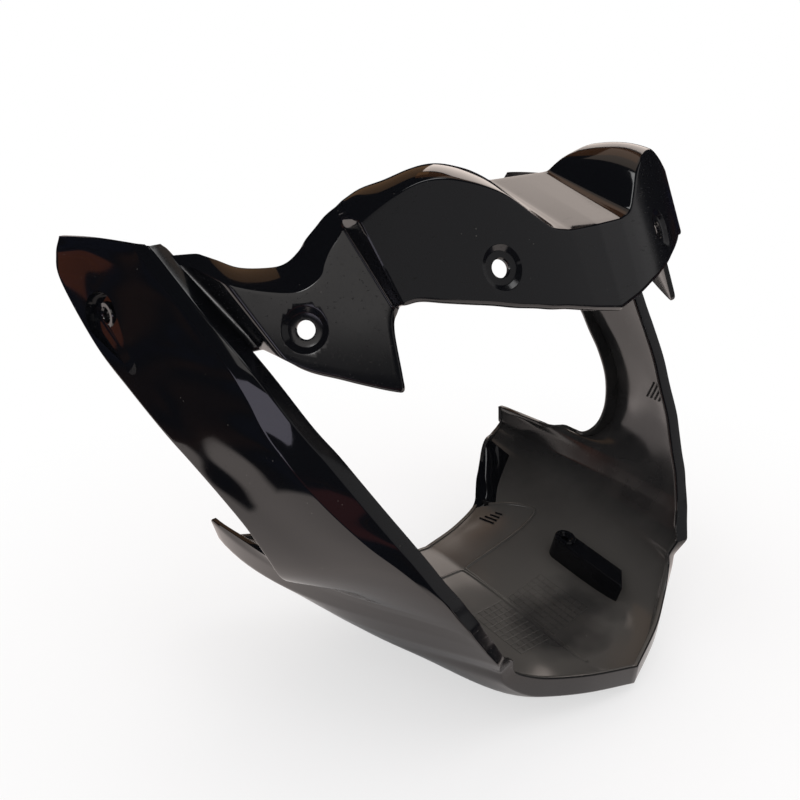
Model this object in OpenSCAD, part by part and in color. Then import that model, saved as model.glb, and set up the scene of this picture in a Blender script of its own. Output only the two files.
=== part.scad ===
// Headlight cowl of a motorbike: one injection moulding.
// Front faces -Y, up is +Z, the part is mirrored about X = 0.
// The origin is the middle of its footprint, at the height of the chin.

/* [Overall size] */
// Width over the two wings
width = 342; // [322:1:362]
// Depth from the chin lip to the wing tips
depth = 239; // [225:1:253]
// Height from the chin to the humps of the brow
height = 263; // [250:1:276]

/* [Shell] */
// Wall of the two side panels and the chin
wall = 2.6; // [2.2:0.1:3.2]
// Width of the flat strip along the front rim
strip_w = 8.6; // [7:0.2:11]
// Height of the upstanding lip round the chin
lip_h = 11; // [9:0.5:13]
// Depth of the flange turned in round each scoop
scoop_flange = 11; // [8:0.5:13]
// Return along the other rear edges
edge_return = 3.4; // [3.3:0.1:4.2]
// How far the ridge of the bevel beside the strip stands out
ridge_out = 3.6; // [2.4:0.1:4.2]

/* [Brow] */
// Wall of the brow
brow_wall = 3; // [2.5:0.1:3.6]
// How far the brow face leans back for each mm of height
rake = 0.45; // [0.4:0.01:0.5]
// Bow of the middle face, as y per square mm of x, in thousandths
bow = 2.35; // [2.1:0.05:2.7]
// Sweep of the outer faces, y per mm of x
sweep = 1.25; // [1.15:0.01:1.35]
// Rise of the valley floor above the wing tips
brow_rise = 6; // [3:0.5:9]
// Height of the humps above the valley floor
hump_h = 25.5; // [20:0.5:30]
// Drop of the spikes below the brow
spike_drop = 34; // [26:0.5:38]

/* [Screw seats] */
// Bore of every screw seat
bore_d = 8.2; // [7:0.1:9]
// Rim of the seat in the face
seat_d = 20.4; // [18:0.2:22]
// Flat floor of the seat
seat_floor_d = 15.2; // [13:0.2:16]
// Depth of the seat below the face
seat_depth = 1.6; // [1.2:0.1:2.2]
// Boss behind the seat
boss_d = 24; // [23.5:0.1:26]
// Length of the boss behind the face
boss_len = 4.2; // [3.8:0.1:6]
// Distance of each inner seat from the middle
inner_x = 62; // [56:0.5:68]
// Drop of the inner seats below the valley floor
inner_drop = 10.5; // [9:0.5:13]
// Distance of each outer seat from the middle
outer_x = 129; // [127:0.25:130]
// Drop of the outer seats below the valley floor
outer_drop = 34.5; // [33:0.5:36]

/* [Wing seats] */
// Wing seat, distance back from the chin lip
wing_y = 201; // [198:0.5:204]
// Wing seat, height
wing_z = 192; // [189:0.5:195]
// Round end of the pocket in the wing
pocket_d = 23; // [20:0.5:26]
// Depth of the pocket in the wing
pocket_depth = 3.4; // [2.6:0.1:4]
// Length of the pocket from the seat to its point
pocket_tail = 30; // [24:1:34]
// Collar round the bore of the wing seat
collar_d = 13; // [11:0.5:15]
// Bore of the wing seat
wing_bore_d = 6.6; // [6:0.1:7.4]

/* [Chin bosses] */
// Distance of each chin boss from the middle
chin_boss_x = 56.5; // [54:0.5:59]
// Distance of its bore back from the chin lip
chin_boss_y = 88; // [84:0.5:92]
// Height of its top at the bore
chin_boss_z = 32.5; // [30:0.5:35]
// Fall of its top towards the front, in degrees
chin_boss_fall = 14; // [10:0.5:18]
// Width of a chin boss
chin_boss_w = 13; // [11:0.5:15]
// Length of a chin boss
chin_boss_len = 44; // [36:1:48]
// Bore through a chin boss
chin_bore_d = 4.5; // [4:0.1:5.5]
// What the screw grips in a chin boss
chin_grip = 12; // [10:0.5:13]
// Recess for the screw head under the chin
chin_head_d = 9.5; // [8:0.1:10.5]

/* [Hidden] */
sx = width / 342;
sy = depth / 239;
sz = height / 263;
valley_z = 228.5 + brow_rise;
steps = 3;
cells = 10;

// Rails of the shell on the +X side, keel first and wing tip last.
// Each row: front edge, first third, second third, rear edge, then the strip
// or lip as a direction, then the share of the scoop flange.
ROWS = [
  [[0, 1, 5], [0, 42, 1.5], [0, 92, 13], [0, 151, 20], [0, -0.1, 1], 0],
  [[29, 8.5, 11], [30, 50, 6.6], [30, 100, 17], [30, 154, 22], [0, -0.1, 1], 0],
  [[50, 17, 15.5], [55, 58, 9.5], [57, 105, 21], [60, 162, 26], [0, -0.1, 1], 0],
  [[62, 22, 20], [72, 62, 18], [75, 112, 27], [75, 173, 38], [-0.1, -0.1, 0.95], 0.1],
  [[74, 26, 30], [87, 66, 31], [94, 116, 34], [90, 184, 50], [-0.5, -0.1, 0.5], 0.6],
  [[77, 27, 38], [93, 68, 39], [103, 121, 39.5], [101, 188, 53.5], [-0.75, -0.1, 0.3], 0.1],
  [[83, 23, 47], [97, 68, 45], [109, 124, 45], [110, 190, 56], [-0.8, 0.3, 0], 0],
  [[88, 27, 55], [102, 70, 55], [116, 130, 52], [119, 193, 58], [-1, 0.3, 0], 0],
  [[92, 30, 62], [105, 71, 63], [118, 127, 62], [122, 196, 71], [-1, 0.2, 0], 0],
  [[94, 32, 66.5], [106, 68, 67], [116, 108, 66], [121.5, 146, 68.5], [-1, 0.15, 0], 0],
  [[97.5, 35.5, 73], [109.2, 67, 72], [117.8, 99, 69], [122, 127, 66], [-1, 0.1, 0], 0.2],
  [[101, 39, 80], [113.5, 67, 79], [122.9, 94, 74], [129, 118, 69.5], [-1, 0.1, 0], 0.6],
  [[105, 44, 87.5], [118.3, 69, 87], [129.3, 92, 83], [137.2, 114, 77.5], [-1, 0.1, 0], 0.9],
  [[109.5, 49.5, 97], [122.9, 71, 97.5], [134.7, 93, 95], [143.5, 114, 90], [-1, 0.1, 0], 1],
  [[114.5, 55.5, 107], [128.2, 77, 109], [139.9, 98, 108], [150, 120, 106], [-1, 0.1, 0], 1],
  [[120.5, 65, 120], [134.3, 87, 122], [146.3, 109, 122], [156, 131.5, 121], [-1, 0.1, 0], 1],
  [[126.5, 74, 133], [140, 97.5, 134.5], [151.5, 121, 134.5], [160.5, 145, 133.5], [-1, 0.1, 0], 0.9],
  [[131.5, 83.5, 145], [145, 108.5, 147], [156, 133.5, 147], [164.5, 159, 145], [-1, 0.1, 0], 0.6],
  [[137, 94, 157], [150, 123, 160.5], [160.5, 152, 161.5], [168, 181, 161], [-1, 0.1, 0], 0.25],
  [[145, 113, 180], [156, 143.5, 181], [164.5, 174, 180.5], [170.5, 205, 178], [-1, 0.1, 0], 0],
  [[152, 142, 205], [160, 172, 206], [166.5, 202.5, 206], [171, 233, 204], [-1, 0.1, 0], 0],
  [[156, 165, 224], [161.5, 190, 222], [166, 214, 219.5], [169, 239, 216], [-1, 0.1, 0], 0],
  [[157, 170, 228.5], [161.5, 191, 228.5], [165.5, 213, 227.5], [168.5, 234, 225.5], [-0.8, 0.1, 0], 0],
];
// Bevel beside the strip: row, where its ridge lies from front to rear, and
// how far it stands out as a share of ridge_out.
BEVEL = [
  [11, 0.05, 0.05], [12, 0.06, 0.2], [13, 0.11, 0.45], [14, 0.18, 0.75], [15, 0.22, 0.95], [16, 0.23, 1],
  [17, 0.22, 0.95], [18, 0.18, 0.75], [19, 0.11, 0.5], [20, 0.1, 0.5], [21, 0.11, 0.55], [22, 0.13, 0.55],
];
// Rows where a rail turns a corner: chin end, strip end, fin, wing tip.
SHARP = [0, 5, 6, 7, 8, 9, 22];

// Brow rows on the +X side, middle first: x and z of the lower edge, x and
// of the top edge, rear edge of the roof, and 1 where the outer face starts.
// Heights of the lower edge count down from the valley, those of the top up.
BROW = [
  [[0, -36.5], [0, 0], [0, 92, 252], 0, 0],
  [[18, -33.5], [20, 0], [20, 92, 252], 0, 0],
  [[26, -32], [30, 0.08], [24, 92, 252.5], 0, 0.3],
  [[34, -30.5], [38, 0.3], [29, 92, 255], 0, 0.8],
  [[42, -29.5], [47, 0.59], [35, 92, 257.5], 0, 1.2],
  [[50, -28], [55, 0.77], [42, 92, 259.5], 0, 1.5],
  [[60, -26.5], [66, 0.92], [54, 92, 262], 0, 1.8],
  [[70, -24.5], [77, 1], [64, 92, 262.5], 0, 2],
  [[80, -23], [88, 0.96], [74, 93, 261], 0, 2],
  [[90, -21.5], [100, 0.77], [85, 96, 257.5], 0, 2],
  [[100, -20], [109, 0.57], [95, 100, 254.5], 0, 2],
  [[107.5, -21.5], [114, 0.44], [102.5, 103, 250], 0, 2],
  [[103.5, -25], [110.5, 0.25], [104, 105, 247.5], 1, 1.5],
  [[105.5, -34], [113, 0.08], [107, 109, 243.5], 1, 1],
  [[106.8, -51], [116, -0.1], [110, 112, 238.5], 1, 1],
  [[107.6, -57.5], [118.5, -0.3], [112.5, 116, 233], 1, 1],
  [[110.5, -58], [120.5, -0.49], [114, 119, 228], 1, 1],
  [[118, -56], [125, -0.67], [117, 124, 222.5], 1, 1],
  [[124, -54], [130, -0.75], [121, 130, 220], 1, 1],
  [[131, -51.8], [139, -0.73], [130, 141, 219.5], 1, 1],
  [[137, -47.8], [147, -0.65], [137, 149, 223], 1, 0.5],
];

function clamp(i, n) = i < 0 ? 0 : i > n ? n : i;
function unit(v) = v / norm(v);
function is_sharp(i) = len([for (k = SHARP) if (k == i) 1]) > 0;
function size(p) = [p[0] * sx, p[1] * sy, p[2] * sz];
function flip(p) = [-p[0], p[1], p[2]];

// Smooth run through the rows of one rail, broken where a row is sharp.
function rail(i, f, k) = let (
    n = len(ROWS) - 1,
    a = ROWS[clamp(i, n)][k],
    b = ROWS[clamp(i + 1, n)][k],
    ta = is_sharp(i) ? b - a : (b - ROWS[clamp(i - 1, n)][k]) / 2,
    tb = is_sharp(i + 1) ? b - a : (ROWS[clamp(i + 2, n)][k] - a) / 2
  ) a * (2 * f * f * f - 3 * f * f + 1) + ta * (f * f * f - 2 * f * f + f)
    + b * (3 * f * f - 2 * f * f * f) + tb * (f * f * f - f * f);
function along(s, k) = let (i = min(floor(s), len(ROWS) - 2)) rail(i, s - i, k);

// Point of the plain skin: s counts rows from the keel, u runs front to rear.
function skin_pos(s, u) = size(
    along(s, 0) * (1 - 3 * u) * (2 - 3 * u) * (1 - u) / 2
    + along(s, 1) * 9 * u * (2 - 3 * u) * (1 - u) / 2
    + along(s, 2) * 9 * u * (3 * u - 1) * (1 - u) / 2
    + along(s, 3) * u * (3 * u - 1) * (3 * u - 2) / 2);
function plain(s, u) = s < 0 ? flip(skin_pos(-s, u)) : skin_pos(s, u);
last = len(ROWS) - 1;
function lo(s) = max(s - 0.12, -last);
function hi(s) = min(s + 0.12, last);
function normal(s, u) = unit(cross(
    plain(hi(s), u) - plain(lo(s), u), plain(s, min(u + 0.03, 1)) - plain(s, max(u - 0.03, 0))));

// The bevel rises from the strip to its ridge and fades out over the panel.
function ridge_u(s) = lookup(abs(s), [for (r = BEVEL) [r[0], r[1]]]);
function ridge_h(s) = ridge_out * (abs(s) < 11 ? 0 : lookup(abs(s), [for (r = BEVEL) [r[0], r[2]]]));
function fade(t) = t > 1 ? 0 : 1 - t * t * (3 - 2 * t);
function bulge(s, u) = let (r = ridge_u(s)) ridge_h(s) * (u < r ? u / r : fade((u - r) / 0.6));
function skin(s, u) = plain(s, u) - (ridge_h(s) > 0 ? normal(s, u) * bulge(s, u) : [0, 0, 0]);
function share(s, i) = let (r = ridge_u(s)) i == 0 ? 0 : r + (1 - r) * (i - 1) / (cells - 1);
function strip_dir(s) = s < 0 ? flip(along(-s, 4)) : along(s, 4);
function strip_len(s) = abs(s) < 5.5 ? lip_h : strip_w;
function strip_back(s) = unit(cross(strip_dir(s), plain(hi(s), 0) - plain(lo(s), 0)));
function turn_in(s) = edge_return + (scoop_flange - edge_return) * max(0, along(abs(s), 5));
function turn_back(s) = unit(cross(plain(hi(s), 1) - plain(lo(s), 1), normal(s, 1)));

// Closed outline of one station: strip, outer skin, rear flange, inner skin.
function station(s) = let (
    f = skin(s, 0),
    w = strip_dir(s) * strip_len(s),
    nb = strip_back(s),
    r = skin(s, 1),
    nr = normal(s, 1),
    tb = turn_back(s)
  ) concat(
    [f + w],
    [for (i = [0 : cells]) skin(s, share(s, i))],
    [r + nr * turn_in(s)],
    [r + nr * turn_in(s) + tb * wall],
    [r + nr * wall + tb * wall],
    [for (i = [cells - 1 : -1 : 1]) let (u = share(s, i)) skin(s, u) + normal(s, u) * wall],
    [f + normal(s, 0) * wall + nb * wall],
    [f + w + nb * wall]);

function right_stations() = [for (i = [0 : last - 1]) for (j = [0 : (i == 5 ? 1 : steps) - 1])
    i + j / (i == 5 ? 1 : steps), last];
function all_stations() = let (r = right_stations(), n = len(r))
    concat([for (i = [n - 1 : -1 : 1]) -r[i]], r);

// Skin over stations of equal length, as triangles that mirror about the middle.
function tube_faces(ns, nl) = [for (i = [0 : ns - 2]) for (j = [0 : nl - 1])
    let (a = i * nl + j, b = i * nl + (j + 1) % nl, c = a + nl, d = b + nl)
    each (2 * i < ns - 1 ? [[a, b, c], [b, d, c]] : [[a, b, d], [a, d, c]])];
// Ends of a tube whose outline folds back on itself.
function fold_cap(base, nl, up) = [for (j = [0 : nl / 2 - 2])
    let (a = base + j, b = base + j + 1, c = base + nl - 2 - j, d = base + nl - 1 - j)
    each (up ? [[a, b, c], [a, c, d]] : [[a, c, b], [a, d, c]])];

module shell() {
  ss = all_stations();
  loops = [for (s = ss) station(s)];
  nl = len(loops[0]);
  pts = [for (l = loops) for (i = [nl - 1 : -1 : 0]) l[i]];
  polyhedron(pts, concat(
    tube_faces(len(ss), nl), fold_cap(0, nl, false), fold_cap((len(ss) - 1) * nl, nl, true)));
}

function face_y(x, z, outer) = (outer == 1
    ? 87 + sweep * (abs(x) - 108)
    : 43.7 + bow * x * x / 1000) + rake * (z - valley_z - 0.5);
function on_face(x, z, outer) = [x, face_y(x, z, outer), z];
function top_z(v) = valley_z + (v < 0 ? 26 * v : hump_h * v);
function low_z(v) = valley_z + (v < -40 ? -36 + (v + 36) * spike_drop / 34 : v);
function brow_low(i) = let (r = BROW[i]) size(on_face(r[0][0], low_z(r[0][1]), r[3]));
function brow_top(i) = let (r = BROW[i]) size(on_face(r[1][0], top_z(r[1][1]), r[3]));
function brow_rear(i) = let (r = BROW[i]) size(r[2]);
// Two more rows carry the end of the brow round behind the front strip.
TAIL = [
  [[135, 121, 187], [145.5, 158, 220], [141, 157, 225]],
  [[147.5, 129, 187], [156.5, 171, 220], [155, 172, 223]],
];
nb = len(BROW);
function brow_point(i, k) = i < 0 ? flip(brow_point(-i, k)) : i >= nb ? size(TAIL[i - nb][k])
    : k == 0 ? brow_low(i) : k == 1 ? brow_top(i) : brow_rear(i);
bl = nb + len(TAIL) - 1;
function brow_run(i, k) = brow_point(min(i + 1, bl), k) - brow_point(max(i - 1, -bl), k);
function brow_in(i, k) = unit(cross(brow_run(i, k), brow_point(i, 1) - brow_point(i, 0)));
function brow_up(i) = unit(cross(brow_run(i, 1), brow_point(i, 2) - brow_point(i, 1)));
function crown(i) = abs(i) < nb ? BROW[abs(i)][4] : 0;
function brow_loop(i) = let (
    l = brow_point(i, 0),
    t = brow_point(i, 1),
    r = brow_point(i, 2),
    fl = -brow_in(i, 0),
    ft = -brow_in(i, 1),
    up = brow_up(i),
    m1 = t * 0.75 + r * 0.25 + up * crown(i) * 0.8,
    m2 = t * 0.4 + r * 0.6 + up * crown(i)
  ) [l, t, m1, m2, r, r - up * brow_wall, m2 - up * brow_wall, m1 - up * brow_wall,
    t - up * brow_wall + ft * brow_wall, l + fl * brow_wall];

module brow() {
  loops = [for (i = [-bl : bl]) brow_loop(i)];
  pts = [for (l = loops) each l];
  polyhedron(pts, concat(
    tube_faces(2 * bl + 1, 10), fold_cap(0, 10, false), fold_cap(2 * bl * 10, 10, true)));
}

// Puts what is drawn along +Z on the face of the brow, square to it.
module on_brow(x, z, outer) {
  n = [outer == 1 ? sweep * sy / sx : 2 * bow * x / 1000 * sy / sx, -1, rake * sy / sz];
  p = size(on_face(x, z, outer));
  translate(p) rotate([0, acos(unit(n)[2]), atan2(n[1], n[0])]) children();
}
module brow_seats() {
  on_brow(inner_x, valley_z - inner_drop, 0) children();
  on_brow(outer_x, valley_z - outer_drop, 1) children();
}
module seat_cut() {
  translate([0, 0, -boss_len - 6]) cylinder(h = boss_len + 12, d = bore_d, $fn = 48);
  translate([0, 0, -seat_depth])
    cylinder(h = seat_depth * 2, d1 = seat_floor_d, d2 = 2 * seat_d - seat_floor_d, $fn = 48);
}

module brow_part() {
  difference() {
    union() {
      brow();
      for (m = [0, 1]) mirror([m, 0, 0]) brow_seats()
        translate([0, 0, -boss_len]) cylinder(h = boss_len - 1, d = boss_d, $fn = 48);
    }
    for (m = [0, 1]) mirror([m, 0, 0]) brow_seats() seat_cut();
  }
}

// The wing seat: a pocket that runs out to a point, with a collared bore.
// It lies on the skin, at the row and share that its height and distance give.
wing_s = lookup(wing_z, [for (i = [17 : 21]) [ROWS[i][0][2], i]]);
wing_u = (wing_y - along(wing_s, 0)[1]) / (along(wing_s, 3)[1] - along(wing_s, 0)[1]);
wing_p = plain(wing_s, wing_u);
wing_n = -normal(wing_s, wing_u);
wing_t = unit(cross(wing_n, cross([0, -0.73, -0.67], wing_n)));
wing_b = cross(wing_n, wing_t);
module on_wing() {
  multmatrix([
    [wing_t[0], wing_b[0], wing_n[0], wing_p[0]],
    [wing_t[1], wing_b[1], wing_n[1], wing_p[1]],
    [wing_t[2], wing_b[2], wing_n[2], wing_p[2]]]) children();
}
module on_pocket_floor() {
  on_wing() translate([0, 0, -pocket_depth]) rotate([0, -atan(pocket_depth / pocket_tail), 0]) children();
}
module teardrop(d) {
  hull() {
    circle(d = d, $fn = 40);
    translate([pocket_tail, 0]) circle(d = d - pocket_d + 3, $fn = 24);
  }
}
module wing_pad() {
  intersection() {
    on_wing() translate([0, 0, -pocket_depth - wall])
      linear_extrude(pocket_depth + wall - 0.6) teardrop(pocket_d + 4);
    on_pocket_floor() translate([0, 0, -wall]) linear_extrude(24) teardrop(pocket_d + 8);
  }
  along_x() translate([0, 0, -pocket_depth - wall - 1.5]) cylinder(h = 3.5, d = collar_d, $fn = 40);
}
module along_x() {
  translate(wing_p) rotate([0, 90, 0]) children();
}
module wing_cut() {
  difference() {
    on_pocket_floor() linear_extrude(16) teardrop(pocket_d);
    along_x() translate([0, 0, -pocket_depth - 2]) cylinder(h = 2.8, d = collar_d, $fn = 40);
  }
  along_x() translate([0, 0, -pocket_depth - wall - 8])
    cylinder(h = pocket_depth + wall + 16, d = wing_bore_d, $fn = 40);
}

// Everything below the middle of the chin wall on the +X side.
module under_floor() {
  ns = 14;
  nu = 10;
  g = [for (i = [0 : ns]) for (j = [0 : nu]) let (s = i * 6 / ns, u = 0.08 + 0.84 * j / nu)
    skin(s, u) + normal(s, u) * wall / 2];
  base = [for (p = g) [p[0], p[1], -40]];
  n = (ns + 1) * (nu + 1);
  w = nu + 1;
  polyhedron(concat(g, base), concat(
    [for (i = [0 : ns - 1]) for (j = [0 : nu - 1]) let (a = i * w + j)
      each [[a, a + 1, a + w + 1], [a, a + w + 1, a + w]]],
    [for (i = [0 : ns - 1]) for (j = [0 : nu - 1]) let (a = n + i * w + j)
      each [[a, a + w + 1, a + 1], [a, a + w, a + w + 1]]],
    [for (i = [0 : ns - 1]) for (e = [0, 1]) let (a = i * w + e * nu, b = a + w)
      each (e == 0 ? [[a, b, b + n], [a, b + n, a + n]] : [[a, b + n, b], [a, a + n, b + n]])],
    [for (j = [0 : nu - 1]) for (e = [0, 1]) let (a = e * ns * w + j, b = a + 1)
      each (e == 0 ? [[a, b + n, b], [a, a + n, b + n]] : [[a, b, b + n], [a, b + n, a + n]])]));
}
module on_chin_boss() {
  translate([chin_boss_x * sx, chin_boss_y * sy, chin_boss_z * sz]) rotate([chin_boss_fall, 0, 0]) children();
}
module chin_boss() {
  difference() {
    on_chin_boss() translate([0, 0, -34]) linear_extrude(34) {
      circle(d = chin_boss_w, $fn = 40);
      polygon([[-chin_boss_w / 2, 0], [-chin_boss_w / 2, -chin_boss_len - 4],
        [chin_boss_w / 2, 6 - chin_boss_len], [chin_boss_w / 2, 0]]);
    }
    under_floor();
  }
}
module chin_bore() {
  on_chin_boss() {
    translate([0, 0, -chin_grip - 1]) cylinder(h = chin_grip + 4, d = chin_bore_d, $fn = 32);
    translate([0, 0, -chin_grip - 24]) cylinder(h = 24, d = chin_head_d, $fn = 40);
  }
}

module shell_part() {
  difference() {
    union() {
      shell();
      for (m = [0, 1]) mirror([m, 0, 0]) {
        wing_pad();
        chin_boss();
      }
    }
    for (m = [0, 1]) mirror([m, 0, 0]) {
      wing_cut();
      chin_bore();
    }
  }
}

module cowl() {
  color("#15161a") translate([0, -depth / 2, 0]) {
    shell_part();
    brow_part();
  }
}

cowl();
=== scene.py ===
"""Headlight cowl: one gloss black moulding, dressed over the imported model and
photographed on a pale table."""

import math

import bmesh
import bpy
import numpy as np
from mathutils import Matrix, Vector
from mathutils.bvhtree import BVHTree


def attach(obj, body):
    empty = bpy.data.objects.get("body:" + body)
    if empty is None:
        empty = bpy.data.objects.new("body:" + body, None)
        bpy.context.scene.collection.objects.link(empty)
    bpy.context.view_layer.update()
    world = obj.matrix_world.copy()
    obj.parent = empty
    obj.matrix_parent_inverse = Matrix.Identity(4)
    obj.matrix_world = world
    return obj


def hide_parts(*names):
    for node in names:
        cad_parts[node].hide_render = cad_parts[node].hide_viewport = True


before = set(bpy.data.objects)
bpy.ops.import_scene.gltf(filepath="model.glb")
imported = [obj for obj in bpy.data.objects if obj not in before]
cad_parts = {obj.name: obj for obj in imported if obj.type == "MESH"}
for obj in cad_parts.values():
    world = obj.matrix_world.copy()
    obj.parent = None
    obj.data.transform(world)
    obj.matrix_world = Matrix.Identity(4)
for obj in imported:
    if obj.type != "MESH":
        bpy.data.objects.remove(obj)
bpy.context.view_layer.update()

MM = 0.001
MIDDLE_Y = 119.5  # the rails are measured from the chin lip, the model from its middle

# ---------------------------------------------------------------- sizes, in mm

WALL = 2.6
STRIP_WIDTH = 8.6  # flat strip along the front rim
LIP_HEIGHT = 11  # upstanding lip of the chin
SCOOP_FLANGE = 11  # edge turned in at the scoop, at its widest
EDGE_RETURN = 3.4  # edge turned in along the rest of the rear
LOWEST = 0.27  # the keel goes no lower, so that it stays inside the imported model
EDGE_ANGLE = 34  # folds sharper than this, in degrees, stay crisp

BROW_WALL = 3.0
VALLEY_Z = 234.5  # height of the valley between the humps
HUMP = 25.5  # rise of the humps over it
END_DROP = 26  # fall of the ends below it
RAKE = 0.45  # lean of the faces: back for each unit of height
LEAN_Z = 235  # height at which the faces stand at the distances below
FACE_Y = 43.7  # front of the middle face
BOW = 2.35  # bow of the middle face: thousandths of x squared
OUTER_X, OUTER_Y = 108, 87  # where the outer faces begin
SWEEP = 1.25  # and how fast they run back

# Rails of one side: front edge, first third, second third, rear edge, way of the
# rim strip, share of the scoop flange. Keel first, wing tip last.
RAILS = np.array([
    [0, 1, 5, 0, 42, 1.5, 0, 92, 13, 0, 151, 20, 0, -0.1, 1, 0],
    [29, 8.5, 11, 30, 50, 6.6, 30, 100, 17, 30, 154, 22, 0, -0.1, 1, 0],
    [50, 17, 15.5, 55, 58, 9.5, 57, 105, 21, 60, 162, 26, 0, -0.1, 1, 0],
    [62, 22, 20, 72, 62, 18, 75, 112, 27, 75, 173, 38, -0.1, -0.1, 0.95, 0.1],
    [74, 26, 30, 87, 66, 31, 94, 116, 34, 90, 184, 50, -0.5, -0.1, 0.5, 0.6],
    [77, 27, 38, 93, 68, 39, 103, 121, 39.5, 101, 188, 53.5, -0.75, -0.1, 0.3, 0.1],
    [83, 23, 47, 97, 68, 45, 109, 124, 45, 110, 190, 56, -0.8, 0.3, 0, 0],
    [88, 27, 55, 102, 70, 55, 116, 130, 52, 119, 193, 58, -1, 0.3, 0, 0],
    [92, 30, 62, 105, 71, 63, 118, 127, 62, 122, 196, 71, -1, 0.2, 0, 0],
    [94, 32, 66.5, 106, 68, 67, 116, 108, 66, 121.5, 146, 68.5, -1, 0.15, 0, 0],
    [97.5, 35.5, 73, 109.2, 67, 72, 117.8, 99, 69, 122, 127, 66, -1, 0.1, 0, 0.2],
    [101, 39, 80, 113.5, 67, 79, 122.9, 94, 74, 129, 118, 69.5, -1, 0.1, 0, 0.6],
    [105, 44, 87.5, 118.3, 69, 87, 129.3, 92, 83, 137.2, 114, 77.5, -1, 0.1, 0, 0.9],
    [109.5, 49.5, 97, 122.9, 71, 97.5, 134.7, 93, 95, 143.5, 114, 90, -1, 0.1, 0, 1],
    [114.5, 55.5, 107, 128.2, 77, 109, 139.9, 98, 108, 150, 120, 106, -1, 0.1, 0, 1],
    [120.5, 65, 120, 134.3, 87, 122, 146.3, 109, 122, 156, 131.5, 121, -1, 0.1, 0, 1],
    [126.5, 74, 133, 140, 97.5, 134.5, 151.5, 121, 134.5, 160.5, 145, 133.5, -1, 0.1, 0, 0.9],
    [131.5, 83.5, 145, 145, 108.5, 147, 156, 133.5, 147, 164.5, 159, 145, -1, 0.1, 0, 0.6],
    [137, 94, 157, 150, 123, 160.5, 160.5, 152, 161.5, 168, 181, 161, -1, 0.1, 0, 0.25],
    [145, 113, 180, 156, 143.5, 181, 164.5, 174, 180.5, 170.5, 205, 178, -1, 0.1, 0, 0],
    [152, 142, 205, 160, 172, 206, 166.5, 202.5, 206, 171, 233, 204, -1, 0.1, 0, 0],
    [156, 165, 224, 161.5, 190, 222, 166, 214, 219.5, 169, 239, 216, -1, 0.1, 0, 0],
    [157, 170, 228.5, 161.5, 191, 228.5, 165.5, 213, 227.5, 168.5, 234, 225.5, -0.8, 0.1, 0, 0],
], float)
RAIL_BREAKS = {0, 5, 6, 7, 8, 9, 22}
# Facet between the panel and the rim strip, a row each: its share of the panel
# and how far its ridge stands out.
RIDGE_OUT = 3.6
FACET = np.array([[0.05, 0]] * 11 + [
    [0.05, 0.05], [0.06, 0.2], [0.11, 0.45], [0.18, 0.75], [0.22, 0.95], [0.23, 1], [0.22, 0.95],
    [0.18, 0.75], [0.11, 0.5], [0.1, 0.5], [0.11, 0.55], [0.13, 0.55]], float)

# Brow, middle first: x and drop of the lower edge, x and rise of the top edge
# in humps, rear of the roof, whether on the outer face, crown.
BROW = [
    [0, -36.5, 0, 0, 0, 92, 252, 0, 0],
    [18, -33.5, 20, 0, 20, 92, 252, 0, 0],
    [26, -32, 30, 0.08, 24, 92, 252.5, 0, 0.3],
    [34, -30.5, 38, 0.3, 29, 92, 255, 0, 0.8],
    [42, -29.5, 47, 0.59, 35, 92, 257.5, 0, 1.2],
    [50, -28, 55, 0.77, 42, 92, 259.5, 0, 1.5],
    [60, -26.5, 66, 0.92, 54, 92, 262, 0, 1.8],
    [70, -24.5, 77, 1, 64, 92, 262.5, 0, 2],
    [80, -23, 88, 0.96, 74, 93, 261, 0, 2],
    [90, -21.5, 100, 0.77, 85, 96, 257.5, 0, 2],
    [100, -20, 109, 0.57, 95, 100, 254.5, 0, 2],
    [107.5, -21.5, 114, 0.44, 102.5, 103, 250, 0, 2],
    [103.5, -25, 110.5, 0.25, 104, 105, 247.5, 1, 1.5],
    [105.5, -34, 113, 0.08, 107, 109, 243.5, 1, 1],
    [106.8, -51, 116, -0.1, 110, 112, 238.5, 1, 1],
    [107.6, -57.5, 118.5, -0.3, 112.5, 116, 233, 1, 1],
    [110.5, -58, 120.5, -0.49, 114, 119, 228, 1, 1],
    [118, -56, 125, -0.67, 117, 124, 222.5, 1, 1],
    [124, -54, 130, -0.75, 121, 130, 220, 1, 1],
    [131, -51.8, 139, -0.73, 130, 141, 219.5, 1, 1],
    [137, -47.8, 147, -0.65, 137, 149, 223, 1, 0.5],
]
BROW_TAIL = [
    [[135, 121, 187], [145.5, 158, 220], [141, 157, 225]],
    [[147.5, 129, 187], [156.5, 171, 220], [155, 172, 223]],
]
BROW_BREAKS = {1, 11, 12, 20, 21, 22}

SEATS = [(62, 224, 0), (129, 200, 1)]  # x, z, whether on the outer face

WING_SEAT = (168.148, 200.818, 192.411)
WING_OUT = (0.9775, -0.1642, 0.1323)
POCKET_WAY = (0, -0.73, -0.67)  # from the screw to the pocket's pointed end
POCKET_DEPTH = 3.4
POCKET_TAIL = 30
POCKET_D = 23
WING_COLLAR, WING_BORE = 6.5, 3.3  # radii

CHIN_BOSS = (56.5, 88, 32.5)
CHIN_BOSS_FALL = 14  # degrees
BOSS_RADIUS = 6.5
BOSS_FOOT = 15.2  # depth of the block before its foot follows the floor
CHIN_BORE, CHIN_RECESS = 2.25, 4.75  # radii

GUTTER_FROM, GUTTER_TO = 1.7, 4.75  # stations along the rails
GUTTER_SHARE = 0.085  # how far it reaches in from the rear edge
GUTTER_HEIGHT = 3.0
GRID_LEFT, GRID_WIDTH, GRID_FRONT, GRID_PITCH = -27, 60, 53.5, 3.8


# ------------------------------------------------------------------- materials

ABS_IOR = 1.54
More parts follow.
